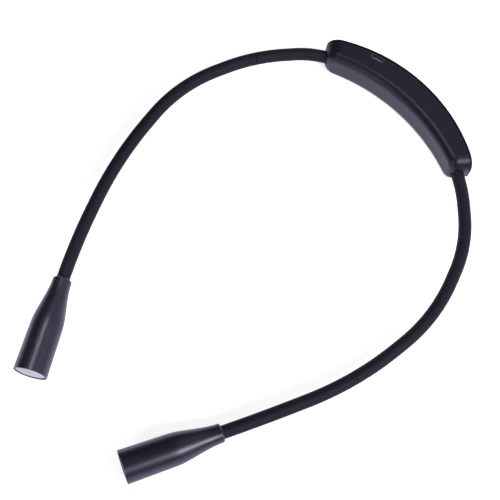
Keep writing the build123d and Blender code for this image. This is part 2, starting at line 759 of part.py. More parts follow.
for side in sides:
    plane = head_plane(side)
    spin = Axis(plane.origin, plane.x_dir)
    swell = shoulder_length - neck_edge
    rise = shoulder_radius - neck_radius
    taper = (head_length - shoulder_length, front_radius - shoulder_radius)
    with BuildPart() as head_shell:
        with BuildSketch(plane):
            with BuildLine():
                Line((0, pocket_radius), (0, neck_radius - neck_edge))
                Line((0, neck_radius - neck_edge), (neck_edge, neck_radius))
                Spline((neck_edge, neck_radius),
                       *[(neck_edge + a * swell, neck_radius + b * rise) for a, b in swell_shares],
                       (shoulder_length, shoulder_radius), tangents=((1, 0), taper))
                Polyline((shoulder_length, shoulder_radius), (head_length, front_radius),
                         (head_length, lens_bore), (lens_seat, lens_bore),
                         (lens_seat, bore_radius), (sink_back, bore_radius),
                         (sink_back, bore_radius - sink_shoulder), (waist_at, waist_diameter / 2),
                         (ferrule_end, ferrule_seat), (head_web, ferrule_seat),
                         (head_web, core_radius + core_seat_gap),
                         (neck_pocket, core_radius + core_seat_gap),
                         (neck_pocket, pocket_radius), (0, pocket_radius))
            make_face()
        revolve(axis=spin)
    keep(head_shell.part, f"{side}_head_shell")

    ferrule = lathe(side, [(head_web, core_radius + crimp_gap), (head_web, ferrule_diameter / 2),
                           (head_web + ferrule_length, ferrule_diameter / 2),
                           (head_web + ferrule_length, core_radius + crimp_gap)])
    keep(ferrule, f"{side}_neck_ferrule")

    sink_radius = sink_diameter / 2
    pitch = sink_length / (groove_count + 1)
    with BuildPart() as heat_sink:
        with BuildSketch(plane):
            with Locations(((sink_back + sink_front) / 2, (sink_bore / 2 + sink_radius) / 2)):
                Rectangle(sink_length, sink_radius - sink_bore / 2)
            for n in range(groove_count):
                with Locations((sink_back + (n + 1) * pitch, sink_radius)):
                    Rectangle(groove_width, 2 * groove_depth, mode=Mode.SUBTRACT)
        revolve(axis=spin)
    keep(heat_sink.part, f"{side}_heat_sink")

    led_board = lathe(side, [(sink_front, 0), (sink_front, led_board_radius),
                             (board_front, led_board_radius), (board_front, 0)])
    keep(led_board, f"{side}_led_board")

    points, headings, arcs = routes[side]
    with BuildPart() as led:
        with BuildSketch(across(along(points[-1], headings[-1], board_front), headings[-1])):
            Rectangle(led_width, led_width)
        extrude(amount=led_base)
        with Locations(across(along(points[-1], headings[-1], led_front), headings[-1])):
            Sphere(led_dome / 2, arc_size1=0)
    keep(led.part, f"{side}_led")

    back = board_front + reflector_gap
    mouth = reflector_mouth / 2
    wide = bore_radius - reflector_gap - reflector_wall
    bow = (back + reflector_bow_share * (lens_seat - back) / 2,
           mouth + reflector_bow_share * (wide - mouth))
    with BuildPart() as reflector:
        with BuildSketch(plane):
            with BuildLine():
                ThreePointArc((back, mouth), bow, (lens_seat + rim_thickness, wide))
                Polyline((lens_seat + rim_thickness, wide), (lens_seat + rim_thickness, lens_diameter / 2),
                         (lens_seat, lens_diameter / 2), (lens_seat, wide + reflector_wall))
                ThreePointArc((lens_seat, wide + reflector_wall), (bow[0], bow[1] + reflector_wall),
                              (back, mouth + reflector_wall))
                Line((back, mouth + reflector_wall), (back, mouth))
            make_face()
        revolve(axis=spin)
    keep(reflector.part, f"{side}_reflector")

    lens_back = lens_seat + rim_thickness
    with BuildPart() as lens:
        with BuildSketch(across(along(points[-1], headings[-1], lens_back), headings[-1])):
            Circle(lens_diameter / 2)
        extrude(amount=lens_thickness)
        faces = lens.faces().filter_by(GeomType.PLANE).sort_by(Axis(plane.origin, plane.x_dir))
        chamfer(faces[-1].edges(), length=lens_chamfer)
    keep(lens.part, f"{side}_lens")

    cable = whole_tube(routes[side], cable_diameter / 2, 0, cable_inside(side), sink_front)
    keep(cable, f"{side}_arm_cable")
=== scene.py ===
# %% [markdown]
# # A reading light that is worn round the neck
#
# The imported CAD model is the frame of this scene: every rigid part comes from it and gets
# its finish here. The two bendable arms are made again, because a stiff CAD solid can't
# show how a gooseneck curves. All sizes are in metres, in the CAD model's own frame:
# +Z is up, the housing lies at the origin and the lamp heads point towards -Y.

# %% Load the frame
import json
from functools import partial
from math import cos, pi, radians, sin

import bpy
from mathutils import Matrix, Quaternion, Vector

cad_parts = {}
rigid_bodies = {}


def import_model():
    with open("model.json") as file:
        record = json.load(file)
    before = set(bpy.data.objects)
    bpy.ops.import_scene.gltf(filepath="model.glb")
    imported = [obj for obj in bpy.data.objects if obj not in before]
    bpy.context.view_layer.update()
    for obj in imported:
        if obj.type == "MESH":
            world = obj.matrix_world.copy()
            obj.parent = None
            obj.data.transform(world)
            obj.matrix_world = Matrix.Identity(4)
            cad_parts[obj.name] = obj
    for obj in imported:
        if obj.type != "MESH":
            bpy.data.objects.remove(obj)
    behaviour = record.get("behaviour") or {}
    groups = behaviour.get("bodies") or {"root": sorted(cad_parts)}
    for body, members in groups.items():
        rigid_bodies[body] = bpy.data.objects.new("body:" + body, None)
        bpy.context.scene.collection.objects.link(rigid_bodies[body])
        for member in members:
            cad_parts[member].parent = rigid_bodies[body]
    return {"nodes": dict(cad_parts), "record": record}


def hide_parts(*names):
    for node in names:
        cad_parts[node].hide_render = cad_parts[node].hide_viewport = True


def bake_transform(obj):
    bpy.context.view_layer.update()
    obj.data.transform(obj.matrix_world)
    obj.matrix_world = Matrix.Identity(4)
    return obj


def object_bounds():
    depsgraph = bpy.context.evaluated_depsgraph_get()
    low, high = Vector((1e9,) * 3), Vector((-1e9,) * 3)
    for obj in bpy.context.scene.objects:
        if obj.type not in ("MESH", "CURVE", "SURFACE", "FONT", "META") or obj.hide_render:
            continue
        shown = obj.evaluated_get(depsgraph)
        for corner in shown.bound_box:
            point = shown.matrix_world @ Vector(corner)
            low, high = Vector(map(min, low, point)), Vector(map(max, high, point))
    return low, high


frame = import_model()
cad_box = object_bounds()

MM = 0.001
SIDES = ("left", "right")

# %% [markdown]
# ## Camera
#
# The photograph looks down on the light from the side of the right-hand lamp head, and is
# turned a little about its own line of sight. The place, the aim and the turn come from
# laying the housing's arc, both arms and both heads over the picture. A wide lens from
# nearby would show the nearer head larger. A long one from further off keeps the two
# nearly the same size, as they are there.

# %% Camera
CAMERA_PLACE = Vector((117.9, -317.7, 612.6)) * MM
CAMERA_AIM = Vector((1.0, -128.1, 10.5)) * MM
CAMERA_TURN = radians(13.34)
LENS_MM = 87.84
NEAREST, FARTHEST = 10 * MM, 10.0


def aim_object(thing, place, aim, turn=0.0):
    """Puts a camera or a lamp at its place, looking at its aim, turned about that line."""
    bpy.context.scene.collection.objects.link(thing)
    thing.location = place
    thing.rotation_mode = "QUATERNION"
    sight = (Vector(aim) - Vector(place)).to_track_quat("-Z", "Y")
    thing.rotation_quaternion = sight @ Quaternion((0, 0, 1), turn)


camera_data = bpy.data.cameras.new("camera")
camera_data.lens = LENS_MM
camera_data.clip_start, camera_data.clip_end = NEAREST, FARTHEST
camera = bpy.data.objects.new("camera", camera_data)
aim_object(camera, CAMERA_PLACE, CAMERA_AIM, CAMERA_TURN)
bpy.context.scene.camera = camera
print("camera", round((CAMERA_AIM - CAMERA_PLACE).length, 3), "m from its aim")

# %% [markdown]
# ## Helpers for node trees
#
# Materials and Geometry Nodes are trees of nodes. They can be drawn by hand in the editor,
# or built by a script as here, which can be read and run again. Four helpers keep that
# short: one adds a node with its settings, one does sums with Math nodes, one starts a tree
# with named inputs and outputs, and one spreads the nodes out for whoever opens the editor.

# %% Helpers for node trees
FLOAT, WHOLE, SHAPE = "NodeSocketFloat", "NodeSocketInt", "NodeSocketGeometry"
COLUMN_STEP, ROW_STEP = 220, 260    # in the editor's own units


def node(tree, kind, **values):
    """Adds a node of a kind and sets its properties, and its inputs by name."""
    made = tree.nodes.new(kind)
    for name, value in values.items():
        if hasattr(made, name):
            setattr(made, name, value)
        else:
            made.inputs[name.replace("_", " ")].default_value = value
    return made


def math_node(tree, operation, *values, kind="ShaderNodeMath", **settings):
    """A Math node whose inputs are sockets or plain values; returns its output."""
    made = node(tree, kind, operation=operation, **settings)
    for socket, value in zip(made.inputs, values):
        if hasattr(value, "links"):
            tree.links.new(value, socket)
        else:
            socket.default_value = value
    return made.outputs[0]


def new_tree(name, kind, inputs, outputs):
    """An empty tree: inputs are (type, default) by name, and outputs are types by name."""
    tree = bpy.data.node_groups.new(name, kind)
    for label, (socket_type, value) in inputs.items():
        socket = tree.interface.new_socket(label, in_out="INPUT", socket_type=socket_type)
        if value is not None:
            socket.default_value = value
    for label, socket_type in outputs.items():
        tree.interface.new_socket(label, in_out="OUTPUT", socket_type=socket_type)
    given = tree.nodes.new("NodeGroupInput").outputs
    result = tree.nodes.new("NodeGroupOutput").inputs
    return tree, given, result


def lay_out(tree):
    """Spreads a tree's nodes in columns, each node left of those that it feeds."""
    column = {made.name: 0 for made in tree.nodes}
    for _ in tree.nodes:
        for link in tree.links:
            feeding, fed = link.from_node.name, link.to_node.name
            column[feeding] = max(column[feeding], column[fed] + 1)
    filled = {}
    for name, steps in column.items():
        filled[steps] = filled.get(steps, 0) + 1
        tree.nodes[name].location = (-COLUMN_STEP * steps, -ROW_STEP * filled[steps])


# %% [markdown]
# ## Floor
#
# The light lies on a white sweep that melts into a white background. A bent sheet with
# strong lamps on it could give that, but those lamps would also shine on the light. Here
# the floor is a flat, plain diffuse white, and a camera ray sees it brighter than it is
# lit, more so far from the middle where no lamp reaches. So the background stays white
# while the faint shadow under the arms survives. A reflection sees the floor dimmer, a
# little violet and darker on the far left, because that is how the heads and the housing's
# inner wall mirror it in the photograph. From below the floor is clear, so that the
# underside can be seen.

# %% The floor's finish
FLOOR_WHITE = 0.86
FLOOR_ROUGHNESS = 0.9
SEEN_GLOW = (0.79, 0.96)        # added for the camera: in the middle, and far from it
SEEN_RISE = (0.35, 1.0)         # metres from the middle
MIRROR_GLOW = (0.08, 0.68)      # added for a reflection: on the far left, and elsewhere
MIRROR_RISE = (-0.15, -0.07)    # metres along X
MIRROR_TINT = (0.91, 0.85, 1.22, 1)


def smooth_rise(tree, value, reach, levels):
    """Goes smoothly from one level to the other while a value crosses its reach."""
    rise = node(tree, "ShaderNodeMapRange", interpolation_type="SMOOTHSTEP",
                From_Min=reach[0], From_Max=reach[1], To_Min=levels[0], To_Max=levels[1])
    tree.links.new(value, rise.inputs["Value"])
    return rise.outputs["Result"]


def floor_material():
    """A matt white that adds a glow of its own for the camera and for reflections."""
    material = bpy.data.materials.new("white_sweep")
    material.use_nodes = True
    tree = material.node_tree
    link = tree.links.new
    shader = tree.nodes["Principled BSDF"]
    shader.inputs["Base Color"].default_value = (FLOOR_WHITE, FLOOR_WHITE, FLOOR_WHITE, 1)
    shader.inputs["Roughness"].default_value = FLOOR_ROUGHNESS
    shader.inputs["Specular IOR Level"].default_value = 0.0
    ray = node(tree, "ShaderNodeLightPath").outputs
    tint = node(tree, "ShaderNodeMix", data_type="RGBA", A=(1, 1, 1, 1), B=MIRROR_TINT)
    link(ray["Is Glossy Ray"], tint.inputs["Factor"])
    link(tint.outputs["Result"], shader.inputs["Emission Color"])
    place = node(tree, "ShaderNodeTexCoord").outputs["Object"]
    across = node(tree, "ShaderNodeSeparateXYZ")
    link(place, across.inputs[0])
    distance = node(tree, "ShaderNodeVectorMath", operation="LENGTH")
    link(place, distance.inputs[0])
    seen = smooth_rise(tree, distance.outputs["Value"], SEEN_RISE, SEEN_GLOW)
    rising = smooth_rise(tree, across.outputs["X"], MIRROR_RISE, MIRROR_GLOW)
    mirrored = math_node(tree, "MULTIPLY", ray["Is Glossy Ray"], rising)
    glow = math_node(tree, "MULTIPLY_ADD", ray["Is Camera Ray"], seen, mirrored)
    link(glow, shader.inputs["Emission Strength"])

    # a camera below the floor looks through it
    back = node(tree, "ShaderNodeNewGeometry").outputs["Backfacing"]
    below = math_node(tree, "MULTIPLY", back, ray["Is Camera Ray"])
    clear = node(tree, "ShaderNodeBsdfTransparent")
    mix = node(tree, "ShaderNodeMixShader")
    link(below, mix.inputs[0])
    link(shader.outputs["BSDF"], mix.inputs[1])
    link(clear.outputs["BSDF"], mix.inputs[2])
    link(mix.outputs[0], tree.nodes["Material Output"].inputs["Surface"])
    lay_out(tree)
    return material


# %% The floor
FLOOR_SIZE = 6.0
FLOOR_DROP = 0.2 * MM       # how far it lies below the CAD model

half = FLOOR_SIZE / 2
corners = [(-half, -half, 0), (half, -half, 0), (half, half, 0), (-half, half, 0)]
floor_mesh = bpy.data.meshes.new("floor")
floor_mesh.from_pydata(corners, [], [(0, 1, 2, 3)])
floor = bpy.data.objects.new("floor", floor_mesh)
bpy.context.scene.collection.objects.link(floor)
floor.location.z = cad_box[0].z - FLOOR_DROP
floor.data.materials.append(floor_material())
print("floor at", round(floor.location.z, 5))

# %% [markdown]
# ## Lamps
#
# Black plastic shows its shape by what it mirrors, so every lamp is there for one
# highlight. Could one big soft box do? It makes the whole light look grey. Here a small
# key box high on the right draws the bright stripe on the right head and the glint on the
# housing's end. Two little boxes low in front shape the barrels, and a large one behind
# gives the tops of the arms and of the housing their soft sheen. The other two are narrow:
# the beam of one is only as wide as the left head, and that of the other as the housing.
# Together the lamps light the floor to about two thirds of its own white, and its glow does
# the rest.

# %% Lamps
OPEN = 180                  # degrees: a lamp whose beam isn't narrowed
MIDDLE = (0, -0.13, 0)      # of the whole light, on the floor
# name: place, aim and side in metres, watts, spread in degrees
LAMPS = {
    "key": ((0.995, -0.137, 0.991), MIDDLE, 0.36, 11.0, OPEN),
    "left_head": ((-0.108, -0.222, 0.300), (-0.088, -0.265, 0.01), 0.13, 0.0260, 30),
    "housing": ((-0.125, -0.120, 0.420), (0.010, 0.000, 0.02), 0.16, 0.0290, 40),
    "front_low": ((0.147, -1.300, 0.300), MIDDLE, 0.18, 1.29, OPEN),
    "front_high": ((0.063, -1.300, 0.621), MIDDLE, 0.08, 1.04, OPEN),
    "back": ((0.164, 0.302, 0.300), MIDDLE, 0.90, 1.25, OPEN),
}


def add_lamp(name, place, aim, side, watts, spread):
    """A square area lamp."""
    data = bpy.data.lights.new(name, "AREA")
    data.shape = "SQUARE"
    data.size = side
    data.energy = watts
    data.spread = radians(spread)
    aim_object(bpy.data.objects.new(name, data), place, aim)


for name, values in LAMPS.items():
    add_lamp(name, *values)
print("lamps", len(LAMPS))

# %% [markdown]
# ## World
#
# Beyond the floor the photograph is white too. A white world would do that, but its light
# would fill every shade and reflection. So only a camera ray sees it white, and everything
# else gets a little of it, as from the walls of a dark studio.

# %% World
WORLD_LEVEL = 0.05


def studio_world():
    """White for the camera, and nearly dark for everything else."""
    world = bpy.data.worlds.new("studio")
    world.use_nodes = True
    tree = world.node_tree
    sky = tree.nodes["Background"]
    sky.inputs["Color"].default_value = (1, 1, 1, 1)
    path = node(tree, "ShaderNodeLightPath")
    level = node(tree, "ShaderNodeMapRange", To_Min=WORLD_LEVEL, To_Max=1.0)
    tree.links.new(path.outputs["Is Camera Ray"], level.inputs["Value"])
    tree.links.new(level.outputs["Result"], sky.inputs["Strength"])
    lay_out(tree)
    return world


bpy.context.scene.world = studio_world()
bpy.context.scene.view_settings.view_transform = "Standard"
print("world level", WORLD_LEVEL)

# %% [markdown]
# ## Shared surface effects
#
# Moulded plastic and silicone are never one flat colour. Three small effects make up most
# of their look: a fine spark-eroded grain, slow cloudy changes of shade and gloss from
# handling, and the paler rub that a sharp edge gets. They could be painted as pictures,
# but a pattern that is worked out stays sharp from near by and needs no file. Each is one
# node group, so every finish can use it with its own numbers.

# %% Node group: fine grain for the bump
GRAIN_SIZE, GRAIN_SOFTNESS = 0.3 * MM, 0.5
GRAIN_DETAIL = 3.0


def grain_group():
    """Height of a moulded grain: cells of one size broken up by finer noise."""
    inputs = {"Grain Size": (FLOAT, GRAIN_SIZE), "Softness": (FLOAT, GRAIN_SOFTNESS)}
    group, given, result = new_tree(
        "moulded_grain", "ShaderNodeTree", inputs, {"Height": FLOAT})
    place = node(group, "ShaderNodeTexCoord")
    scale = math_node(group, "DIVIDE", 1.0, given["Grain Size"])
    cells = node(group, "ShaderNodeTexVoronoi", feature="SMOOTH_F1")
    noise = node(group, "ShaderNodeTexNoise", Detail=GRAIN_DETAIL)
    for texture in (cells, noise):
        group.links.new(place.outputs["Object"], texture.inputs["Vector"])
        group.links.new(scale, texture.inputs["Scale"])
    mix = node(group, "ShaderNodeMix", data_type="FLOAT")
    group.links.new(given["Softness"], mix.inputs["Factor"])
    group.links.new(cells.outputs["Distance"], mix.inputs["A"])
    group.links.new(noise.outputs["Fac"], mix.inputs["B"])
    group.links.new(mix.outputs["Result"], result["Height"])
    lay_out(group)
    return group


GRAIN = grain_group()
print("grain nodes", len(GRAIN.nodes))

# %% Node group: slow changes of shade and gloss
PATCH_SIZE, PATCH_CONTRAST = 20 * MM, 0.8
PATCH_DETAIL, PATCH_ROUGHNESS = 4.0, 0.55
HALF = 0.5


def cloud_group():
    """A value from 0 to 1 that drifts over a surface, as skin oil and dust leave it."""
    inputs = {"Patch Size": (FLOAT, PATCH_SIZE), "Contrast": (FLOAT, PATCH_CONTRAST)}
    group, given, result = new_tree(
        "handling_clouds", "ShaderNodeTree", inputs, {"Cloud": FLOAT})
    place = node(group, "ShaderNodeTexCoord")
    scale = math_node(group, "DIVIDE", 1.0, given["Patch Size"])
    noise = node(group, "ShaderNodeTexNoise", Detail=PATCH_DETAIL, Roughness=PATCH_ROUGHNESS)
    group.links.new(place.outputs["Object"], noise.inputs["Vector"])
    group.links.new(scale, noise.inputs["Scale"])
    centred = math_node(group, "SUBTRACT", noise.outputs["Fac"], HALF)
    spread = math_node(group, "MULTIPLY", centred, given["Contrast"])
    group.links.new(math_node(group, "ADD", spread, HALF, use_clamp=True), result["Cloud"])
    lay_out(group)
    return group


CLOUD = cloud_group()
print("cloud nodes", len(CLOUD.nodes))

# %% Node group: rubbed edges
RUB_WIDTH, RUB_STRENGTH = 0.6 * MM, 4.0
BEVEL_SAMPLES = 4


def rub_group():
    """A mask that is 1 on convex edges, from how far a bevelled normal leans away."""
    inputs = {"Width": (FLOAT, RUB_WIDTH), "Strength": (FLOAT, RUB_STRENGTH)}
    group, given, result = new_tree("rubbed_edges", "ShaderNodeTree", inputs, {"Mask": FLOAT})
    bevel = node(group, "ShaderNodeBevel", samples=BEVEL_SAMPLES)
    group.links.new(given["Width"], bevel.inputs["Radius"])
    face = node(group, "ShaderNodeNewGeometry")
    lean = node(group, "ShaderNodeVectorMath", operation="DISTANCE")
    group.links.new(bevel.outputs["Normal"], lean.inputs[0])
    group.links.new(face.outputs["Normal"], lean.inputs[1])
    mask = math_node(group, "MULTIPLY", lean.outputs["Value"], given["Strength"],
                     use_clamp=True)
    group.links.new(mask, result["Mask"])
    lay_out(group)
    return group


RUB = rub_group()
print("rub nodes", len(RUB.nodes))

# %% [markdown]
# ## A finish in one call
#
# Every finish here is a Principled shader with a base colour that drifts between two
# shades, a roughness that drifts with it, and a grain in the bump. Each could be a tree of
# its own, but then the same nodes would be written twenty times. One function builds them
# all, so each material below reads as a short list of what makes it different.

# %% One function for the finishes
GRAIN_BUMP, GRAIN_DEPTH = 0.15, 0.02 * MM


def finish(name, shades, gloss, grain=(GRAIN_SIZE, GRAIN_SOFTNESS), bump=GRAIN_BUMP,
           depth=GRAIN_DEPTH, patch=PATCH_SIZE, rub=0.0, **sockets):
    """A material: shades and gloss are (low, high) pairs, grain is (size, softness)."""
    material = bpy.data.materials.new(name)
    material.use_nodes = True
    tree = material.node_tree
    link = tree.links.new
    shader = tree.nodes["Principled BSDF"]
    for label, value in sockets.items():
        shader.inputs[label.replace("_", " ")].default_value = value
    cloud = node(tree, "ShaderNodeGroup", node_tree=CLOUD, Patch_Size=patch)
    colour = node(tree, "ShaderNodeMix", data_type="RGBA",
                  A=(*shades[0], 1), B=(*shades[1], 1))
    link(cloud.outputs["Cloud"], colour.inputs["Factor"])
    rough = node(tree, "ShaderNodeMapRange", To_Min=gloss[0], To_Max=gloss[1])
    link(cloud.outputs["Cloud"], rough.inputs["Value"])
    if rub:
        edge = node(tree, "ShaderNodeGroup", node_tree=RUB)
        lighter = node(tree, "ShaderNodeMix", data_type="RGBA", blend_type="ADD",
                       B=(rub, rub, rub, 1))
        link(edge.outputs["Mask"], lighter.inputs["Factor"])
        link(colour.outputs["Result"], lighter.inputs["A"])
        colour = lighter
    link(colour.outputs["Result"], shader.inputs["Base Color"])
    link(rough.outputs["Result"], shader.inputs["Roughness"])
    pores = node(tree, "ShaderNodeGroup", node_tree=GRAIN,
                 Grain_Size=grain[0], Softness=grain[1])
    relief = node(tree, "ShaderNodeBump", Strength=bump, Distance=depth)
    link(pores.outputs["Height"], relief.inputs["Height"])
    link(relief.outputs["Normal"], shader.inputs["Normal"])
    lay_out(tree)
    return material


# %% [markdown]
# ## The outside
#
# The housing has a rubbery soft-touch coat: very dark, slightly violet, with a broad soft
# highlight. Its cover is moulded in a plainer plastic and is given a darker colour than the
# coat. That darkness is painted shade, for its outer face that turns away from the lamps and
# for the shadowed seam between cover and housing. The heads have the coat's colour with a
# finer, glossier skin, so their highlights are brighter and narrower. The silicone sleeves
# are the most matt of all. One black for all four would be simpler, but then the parts would
# melt into each other. A violet specular tint gives the shell, the cover, the heads and the
# sleeves the cool sheen of the photograph.

# %% Finishes of the outside
VIOLET_TINT = (0.82, 0.77, 1.0, 1)
FINISHES = {
    "shell_plastic": finish(
        "soft_touch_black", ((0.0084, 0.0070, 0.0152), (0.0104, 0.0088, 0.0188)), (0.36, 0.43),
        grain=(0.25 * MM, 0.6), bump=0.2, rub=0.004, Specular_IOR_Level=0.40,
        Specular_Tint=VIOLET_TINT),
    # painted shade: the cover is darker than the coat, for its face turned away from the lamps
    # and for the seam's shadow
    "cover_plastic": finish(
        "cover_painted_shade", ((0.0020, 0.0017, 0.0035), (0.0027, 0.0023, 0.0046)), (0.46, 0.54),
        grain=(0.25 * MM, 0.6), bump=0.2, rub=0.001, Specular_IOR_Level=0.18,
        Specular_Tint=VIOLET_TINT),
    "head_plastic": finish(
        "satin_black", ((0.0118, 0.0100, 0.0215), (0.0146, 0.0124, 0.0265)), (0.34, 0.40),
        grain=(0.18 * MM, 0.7), bump=0.1, rub=0.004, Specular_IOR_Level=0.80,
        Specular_Tint=VIOLET_TINT),
    "button_plastic": finish(
        "button_black", ((0.018, 0.017, 0.022), (0.022, 0.021, 0.027)), (0.45, 0.55),
        rub=0.006, Specular_IOR_Level=0.4),
    "sleeve_silicone": finish(
        "sleeve_silicone", ((0.0150, 0.0130, 0.0240), (0.0185, 0.0161, 0.0296)), (0.55, 0.63),
        grain=(0.30 * MM, 0.4), bump=0.3, patch=12 * MM, Specular_IOR_Level=0.22,
        Specular_Tint=VIOLET_TINT),
}
print("finishes", len(FINISHES))

# %% [markdown]
# ## Lamp parts and what is inside
#
# The lens is a frosted white that looks a little blue when it is off, and the charging
# port and the indicator's light pipe show in the housing's edge. What lies behind them only
# shows when the light is taken apart, and could stay grey. It gets the finish that such
# parts have all the same: brass, aluminium and steel, solder mask, epoxy, foil and foam.

# %% Finishes of the lamp parts and the inside
FINISHES |= {
    "core_steel": finish(
        "drawn_steel", ((0.38, 0.38, 0.39), (0.46, 0.46, 0.47)), (0.28, 0.42),
        grain=(0.4 * MM, 0.9), patch=6 * MM, Metallic=1.0),
    "brass_collar": finish(
        "turned_brass", ((0.62, 0.44, 0.20), (0.74, 0.56, 0.29)), (0.25, 0.38),
        patch=4 * MM, Metallic=1.0),
    "sink_aluminium": finish(
        "turned_aluminium", ((0.66, 0.67, 0.68), (0.76, 0.77, 0.78)), (0.28, 0.40),
        patch=5 * MM, Metallic=1.0),
    "led_aluminium": finish(
        "white_solder_mask", ((0.72, 0.73, 0.72), (0.80, 0.81, 0.80)), (0.35, 0.45),
        patch=4 * MM),
    "led_white": finish(
        "phosphor_dome", ((0.80, 0.62, 0.14), (0.90, 0.74, 0.24)), (0.30, 0.40),
        patch=2 * MM),
    "reflector_plastic": finish(
        "metallised_plastic", ((0.82, 0.82, 0.83), (0.90, 0.90, 0.91)), (0.08, 0.14),
        patch=6 * MM, Metallic=1.0),
    "lens_diffuser": finish(
        "frosted_white", ((0.66, 0.69, 0.80), (0.74, 0.77, 0.88)), (0.45, 0.55),
        grain=(0.2 * MM, 0.6), patch=5 * MM),
    "circuit_board": finish(
        "green_solder_mask", ((0.010, 0.085, 0.035), (0.016, 0.12, 0.05)), (0.25, 0.35),
        patch=6 * MM),
    "component_plastic": finish(
        "moulded_epoxy", ((0.020, 0.020, 0.021), (0.030, 0.030, 0.032)), (0.5, 0.6),
        patch=3 * MM),
    # painted shade: the nickel plate is darker than bare nickel, so that the inside of the
    # charging port reads as a shaded slot
    "port_steel": finish(
        "nickel_plate_painted_shade", ((0.27, 0.27, 0.29), (0.35, 0.35, 0.37)), (0.30, 0.42),
        patch=3 * MM, Metallic=1.0),
    "light_pipe": finish(
        "clear_pipe", ((0.045, 0.043, 0.052), (0.058, 0.056, 0.066)), (0.15, 0.22),
        patch=3 * MM),
    "cell_wrap": finish(
        "foil_pouch", ((0.52, 0.53, 0.55), (0.62, 0.63, 0.66)), (0.30, 0.45),
        grain=(0.8 * MM, 0.8), patch=8 * MM, Metallic=0.7),
    "foam": finish(
        "closed_cell_foam", ((0.05, 0.05, 0.055), (0.08, 0.08, 0.085)), (0.85, 0.95),
        grain=(0.5 * MM, 0.2), bump=0.8, depth=0.1 * MM, patch=4 * MM),
    "wire_insulation": finish(
        "cable_jacket", ((0.03, 0.03, 0.033), (0.045, 0.045, 0.05)), (0.45, 0.6),
        patch=6 * MM),
    "screw_steel": finish(
        "zinc_plate", ((0.48, 0.49, 0.52), (0.62, 0.63, 0.65)), (0.25, 0.4),
        patch=2 * MM, Metallic=1.0),
}
print("finishes", len(FINISHES))

# %% Each CAD piece gets the finish of its slot
slot_of = {part["node"]: part["material_slot"] for part in frame["record"]["subparts"]}
for name, piece in frame["nodes"].items():
    piece.data.materials.clear()
    piece.data.materials.append(FINISHES[slot_of[name]])
print("finished pieces", len(slot_of))

# %% [markdown]
# ## The route of each arm
#
# A gooseneck arm is a bendable metal core in a silicone sleeve. In the photograph each arm
# leaves the end of the housing straight, then swings round in one soft curve and runs
# nearly straight into its head. A free curve could be drawn through that, but five arcs in
# a row, each touching the next, follow it just as well and bend evenly. Between two arcs
# lies the place where the CAD model lets the arm bend.

# %% Route: five arcs and the straight runs between them
ARC_RADIUS = 97.5 * MM      # middle line of the housing
ARM_INSET = 1.4 * MM        # how far inside that line an arm leaves the housing
HALF_ANGLE = radians(31.25)  # from the middle of the housing to its end
ARM_HEIGHT = 10.5 * MM      # above the table
HINGE_STRAIGHT = 3.0 * MM   # on each side of a place where the arm bends
# from the housing on: the lengths between those places, and the degrees of each arc
STRETCHES = [v * MM for v in (20.0, 40.0, 50.0, 60.0, 43.3)]
BENDS = {"left": (19.3, 18.8, 29.1, 13.9, 6.6), "right": (13.0, 26.6, 25.6, 17.1, 2.0)}
SIGNS = {"left": -1, "right": 1}
ARC_STEPS = 24
SLEEVE_IN_HOUSING, SLEEVE_IN_HEAD = 1.9 * MM, 3.9 * MM


def turned(way, angle):
    """A level direction, turned about the vertical."""
    return Vector((way.x * cos(angle) - way.y * sin(angle),
                   way.x * sin(angle) + way.y * cos(angle), 0))


def arm_route(side, before, after):
    """Points along an arm's middle, with the places where it bends, from before to after."""
    sign = SIGNS[side]
    radius = ARC_RADIUS - ARM_INSET
    point = Vector((sign * radius * sin(HALF_ANGLE), radius * cos(HALF_ANGLE) - ARC_RADIUS,
                    ARM_HEIGHT))
    way = Vector((sign * cos(HALF_ANGLE), -sin(HALF_ANGLE), 0))
    points, hinges = [point - before * way, point], []
    for i, (length, bend) in enumerate(zip(STRETCHES, BENDS[side])):
        lead = HINGE_STRAIGHT if i > 0 else 0
        tail = HINGE_STRAIGHT if i < len(STRETCHES) - 1 else 0
        turn = -sign * radians(bend)
        radius_here = (length - lead - tail) / abs(turn)
        start = point + lead * way
        for step in range(0 if lead else 1, ARC_STEPS + 1):
            part = turn * step / ARC_STEPS
            chord = 2 * radius_here * abs(sin(part / 2))
            points.append(start + chord * turned(way, part / 2))
        way = turned(way, turn)
        point = points[-1] + tail * way
        if tail:
            points.append(point)
            hinges.append((point, way))
    points.append(points[-1] + after * way)
    return points, hinges


for side in SIDES:
    points, hinges = arm_route(side, SLEEVE_IN_HOUSING, SLEEVE_IN_HEAD)
    print(side, "route of", len(points), "points with", len(hinges), "bends")

# %% [markdown]
# ## Tubes that follow the route, made by Geometry Nodes
#
# Sleeve, core and cable are all walls swept along the same line. A curve with a bevel would
# be quicker, but has no bore and no coil. So one node tree makes them all. It starts from a
# flat grid: across the grid runs the angle round the tube, and along it runs the outline of
# the wall, which goes out along the outside and comes back along the bore. Each grid point
# is then moved to its place round the sampled curve, so the tube closes on itself and has a
# true wall. A helical ripple on the outside turns the same tree into the coiled core.

# %% Sums in a tree, and the grid that becomes the wall
def arithmetic(tree):
    """Short names for a tree's four kinds of sum: add, less, times and over."""
    kinds = ("ADD", "SUBTRACT", "MULTIPLY", "DIVIDE")
    return [partial(math_node, tree, operation) for operation in kinds]


def wall_grid(tree, given):
    """A flat grid, with each point's column along the wall and its angle round the tube."""
    add, less, times, _ = arithmetic(tree)
    # Rings + 1 columns go out, as many come back, and one more closes the wall
    columns = add(times(given["Rings"], 2), 3)
    grid = node(tree, "GeometryNodeMeshGrid", Size_X=1.0, Size_Y=1.0)
    tree.links.new(columns, grid.inputs["Vertices X"])
    tree.links.new(add(given["Sides"], 1), grid.inputs["Vertices Y"])
    place = node(tree, "GeometryNodeInputPosition")
    split = node(tree, "ShaderNodeSeparateXYZ")
    tree.links.new(place.outputs[0], split.inputs[0])
    along = times(add(split.outputs["X"], HALF), less(columns, 1))
    column = math_node(tree, "ROUND", along)
    return grid.outputs["Mesh"], column, times(split.outputs["Y"], 2 * pi)


